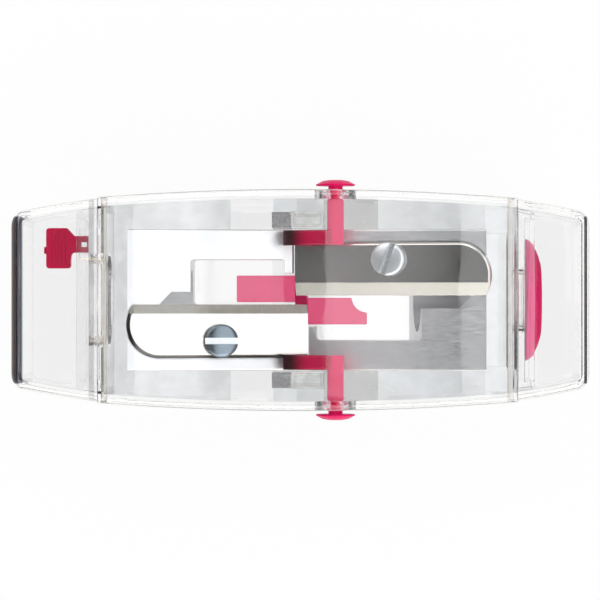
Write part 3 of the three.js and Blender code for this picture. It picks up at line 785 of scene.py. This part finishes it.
def spring_strip(node, side):
    """Draws the strip of one arm (side 1 is the upper one), from the core's root to the button's
    post.
    """
    source = bmesh.new()
    rings = []
    span = STRIP["x1"] - STRIP["x0"]
    for step in range(STRIP_STEPS + 1):
        x = STRIP["x0"] + span * step / STRIP_STEPS
        inner = STRIP["inner0"] + (STRIP["inner1"] - STRIP["inner0"]) * step / STRIP_STEPS
        short = max(0, STRIP_LEVEL_FROM - x) / (STRIP_LEVEL_FROM - STRIP["x0"])
        top = STRIP["top"] - STRIP_FALL * short ** 2
        section = rounded_section(inner, STRIP["outer"], top - STRIP["depth"], top, STRIP_CORNER)
        rings.append([source.verts.new((x * MM, side * y * MM, z * MM)) for y, z in section])
    for near, far in zip(rings, rings[1:]):
        for i in range(len(near)):
            source.faces.new((near[i - 1], near[i], far[i], far[i - 1]))
    source.faces.new(rings[0])
    source.faces.new(rings[-1])
    bmesh.ops.recalc_face_normals(source, faces=source.faces)
    for face in source.faces:
        face.smooth = True
    mesh = bpy.data.meshes.new(f"{node}_strip")
    source.to_mesh(mesh)
    source.free()
    mesh.materials.append(SHADED_ARM_PINK)
    mesh.set_sharp_from_angle(angle=SMOOTH_BELOW)
    strip = bpy.data.objects.new(f"{node}_strip", mesh)
    bpy.context.scene.collection.objects.link(strip)
    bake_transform(strip)
    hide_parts(node)
    print(f"{strip.name}: {len(mesh.polygons)} faces, {span:.2f} mm long")


spring_strip("upper_spring_arm", 1)
spring_strip("lower_spring_arm", -1)

# %% [markdown]
# ## Magnesium
# The wedge blocks are cut from extruded magnesium bar. Milling leaves fine straight marks and a
# satin, slightly cool grey that drifts a little over the block. The marks are noise stretched
# twelve times. Cutter marks are a few hundredths of a millimetre apart, too fine to show, so these
# are drawn at about an eighth of one.

# %% Magnesium
MARKS_MM = 1.5              # along the marks
MARKS_STRETCH = 12
DRIFT_MM = 5                # the grey drifts over this distance


def magnesium():
    finish, tree, out = new_finish("milled_magnesium")
    place = add(tree, "ShaderNodeTexCoord")
    stretch = add(tree, "ShaderNodeMapping",
                  {"Vector": place.outputs["Object"], "Scale": (1, MARKS_STRETCH, 1)})
    marks = add(tree, "ShaderNodeTexNoise",
                {"Vector": stretch.outputs[0], "Scale": 1 / (MARKS_MM * MM), "Detail": 4.0})
    cloud = add(tree, "ShaderNodeTexNoise",
                {"Vector": place.outputs["Object"], "Scale": 1 / (DRIFT_MM * MM), "Detail": 3.0})
    shade = add(tree, "ShaderNodeMix", {
        "Factor": cloud.outputs["Fac"], "A": linear("F2F3F5"), "B": linear("E3E5E8"),
    }, data_type="RGBA")
    streaks = add(tree, "ShaderNodeMapRange", {
        "Value": marks.outputs["Fac"], "From Min": 0.35, "From Max": 0.65,
        "To Min": 0.93, "To Max": 1.0,
    })
    shade = add(tree, "ShaderNodeVectorMath",
                {0: shade.outputs["Result"], "Scale": streaks.outputs["Result"]}, operation="SCALE")
    rough = add(tree, "ShaderNodeMapRange", {
        "Value": marks.outputs["Fac"], "From Min": 0.3, "From Max": 0.7,
        "To Min": 0.33, "To Max": 0.5,
    })
    relief = add(tree, "ShaderNodeBump",
                 {"Height": marks.outputs["Fac"], "Strength": 0.3, "Distance": 0.012 * MM})
    metal = add(tree, "ShaderNodeBsdfPrincipled", {
        "Base Color": shade.outputs["Vector"], "Metallic": 1.0,
        "Roughness": rough.outputs["Result"], "Normal": relief.outputs["Normal"],
    })
    tree.links.new(metal.outputs[0], out.inputs["Surface"])
    return finish


MAGNESIUM = magnesium()
for node in ("left_block", "right_block"):
    finer(node, MAGNESIUM, rounding=0.12)

# %% [markdown]
# ## Blade steel and screws
# The blades are stamped from hardened spring steel and ground flat, which leaves fine lines along
# them and a soft mirror. The screws are steel with a thin bright plating. All of them are one
# kind of finish: noise, stretched along the grinding, sets the shade, the sheen and a very slight
# relief. Grinding lines are about a hundredth of a millimetre wide, too fine to show, and are drawn
# at four hundredths.

# %% Blade steel
GRINDING_MM = 0.6           # before the stretch


def ground_steel(name, colour, stretched, roughness):
    """Ground or plated steel, whose marks are made finer along each axis by stretched."""
    finish, tree, out = new_finish(name)
    place = add(tree, "ShaderNodeTexCoord")
    stretch = add(tree, "ShaderNodeMapping",
                  {"Vector": place.outputs["Object"], "Scale": stretched})
    marks = add(tree, "ShaderNodeTexNoise",
                {"Vector": stretch.outputs[0], "Scale": 1 / (GRINDING_MM * MM), "Detail": 3.0})
    rough = add(tree, "ShaderNodeMapRange", {
        "Value": marks.outputs["Fac"], "From Min": 0.3, "From Max": 0.7,
        "To Min": roughness - 0.04, "To Max": roughness + 0.05,
    })
    relief = add(tree, "ShaderNodeBump",
                 {"Height": marks.outputs["Fac"], "Strength": 0.2, "Distance": 0.004 * MM})
    streaks = add(tree, "ShaderNodeMapRange", {
        "Value": marks.outputs["Fac"], "From Min": 0.35, "From Max": 0.65,
        "To Min": 0.88, "To Max": 1.0,
    })
    shade = add(tree, "ShaderNodeVectorMath",
                {0: linear(colour)[:3], "Scale": streaks.outputs["Result"]}, operation="SCALE")
    metal = add(tree, "ShaderNodeBsdfPrincipled", {
        "Base Color": shade.outputs["Vector"], "Metallic": 1.0,
        "Roughness": rough.outputs["Result"], "Normal": relief.outputs["Normal"],
    })
    tree.links.new(metal.outputs[0], out.inputs["Surface"])
    return finish


ALONG_BLADE = (1, 14, 14)   # long lines from end to end
ACROSS_BEVEL = (8, 0.5, 0.5)
EVEN = (4, 4, 4)            # plating has no direction

# Ground along its length: a clean grey mirror.
BLADE_STEEL = ground_steel("ground_spring_steel", "DAD8D5", ALONG_BLADE, 0.18)
# The cutting edge's bevel, ground across: a warmer, paler band.
BEVEL_STEEL = ground_steel("ground_bevel", "C0BDB4", ACROSS_BEVEL, 0.2)
# The left blade's rolled edge: a thin dark outline, painted shade standing in for the shaded gap
# round the blade's end.
RIM_SHADE_STEEL = ground_steel("blued_rim", "45423F", EVEN, 0.16)
# The right screw's plating: satin, and painted bright as light.
LIT_SCREW_STEEL = ground_steel("zinc_plated_steel", "EDF2F7", EVEN, 0.34)
# The left screw's plating, the same as the right one's: glossier, and painted darker and bluer as
# shade.
SHADED_SCREW_STEEL = ground_steel("dull_zinc_plated_steel", "818D98", EVEN, 0.22)
# The floor of a screw's slot, cut bright.
SLOT_STEEL = ground_steel("bright_slot_floor", "E2E6EA", EVEN, 0.3)
steels = (BLADE_STEEL, BEVEL_STEEL, RIM_SHADE_STEEL, LIT_SCREW_STEEL, SHADED_SCREW_STEEL, SLOT_STEEL)
print("steel finishes:", ", ".join(finish.name for finish in steels))

# %% [markdown]
# Stamping rolls a blade's outer edge over and leaves its cutting edge and inner end sharp. That
# rolled edge draws the line round the blade, so it is a real rounding of half a millimetre. The
# blades lie on a slope, so each test measures a face against the direction that stands square off
# that slope.

# %% Tests for the blades and screws
SLOPE = math.radians(13.5)  # of both blades
ROLL = 0.5                  # radius of the rolled edge
HOLE_WITHIN = (19.0, 7.3)   # the screw holes' edges lie inside this X and Y
BEVEL_WITHIN = 2.4          # the bevels lie inside this Y
BEVEL_LEAN = (0.85, 0.97)   # cosine of a bevel's lean from the blade's top
SLOT_DEPTH = (0.6, 1.0)     # the slot's floor lies this far below the head's top


def off_slope(side):
    """The direction that stands square off a blade: side is -1 for the left, 1 for the right."""
    return Vector((-side * math.sin(SLOPE), 0, math.cos(SLOPE)))


def blade_rim(side):
    """True for the top edges of a blade, other than the cutting edge and the inner end."""
    up = off_slope(side)

    def test(edge):
        if len(edge.link_faces) != 2:
            return False
        top, wall = sorted((face.normal for face in edge.link_faces), key=lambda n: -n.dot(up))
        upright = top.dot(up) > 0.99 and abs(wall.dot(up)) < 0.1
        inner_end = wall.x * side < -0.9
        middle = (edge.verts[0].co + edge.verts[1].co) / 2 / MM
        screw_hole = abs(middle.y) < HOLE_WITHIN[1] and abs(middle.x) < HOLE_WITHIN[0]
        return upright and not inner_end and not screw_hole
    return test


def ground_bevel(side):
    """True for the cutting edge's bevel: it leans a little off the blade's top, near the axis."""
    up = off_slope(side)

    def test(centre, normal):
        return abs(centre.y) < BEVEL_WITHIN and BEVEL_LEAN[0] < normal.dot(up) < BEVEL_LEAN[1]
    return test


def rim(side):
    """True for a blade's rolled edge and the wall below it."""
    up = off_slope(side)

    def test(centre, normal):
        return -0.1 < normal.dot(up) < 0.99
    return test


def slot_floor(node, side):
    """True for faces that look off the slope from well below the screw head's top."""
    up = off_slope(side)
    top = max(vertex.co.dot(up) for vertex in nodes[node].data.vertices) / MM

    def test(centre, normal):
        return normal.dot(up) > 0.95 and SLOT_DEPTH[0] < top - centre.dot(up) < SLOT_DEPTH[1]
    return test


print("a blade rises", round(math.tan(SLOPE) * 10, 1), "mm in every 10")

# %% [markdown]
# The two sides are built alike. Only the plating and the colour of the rolled edge differ: the left
# screw and rolled edge are painted darker as shade, and the right screw brighter as light.

# %% Blades and screws
BLADE_SMOOTH = math.radians(12)     # the bevel meets the top at 19 to 27 degrees and stays crisp

for name, side, plating, edge_steel in (("left", -1, SHADED_SCREW_STEEL, RIM_SHADE_STEEL),
                                        ("right", 1, LIT_SCREW_STEEL, BLADE_STEEL)):
    finer(f"{name}_blade", BLADE_STEEL, rounding=0.05, rolled=(ROLL, blade_rim(side)),
          zones=[(BEVEL_STEEL, ground_bevel(side)), (edge_steel, rim(side))],
          smooth_below=BLADE_SMOOTH)
    finer(f"{name}_screw", plating, rounding=0.08,
          zones=[(SLOT_STEEL, slot_floor(f"{name}_screw", side))])

# %% [markdown]
# ## Material slots
# The construction names five materials. Each finished piece says which of them it stands for, so
# that its weight and feel are known wherever the part is used.

# %% Material slots
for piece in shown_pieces():
    node = piece.name.removesuffix("_fine").removesuffix("_strip")
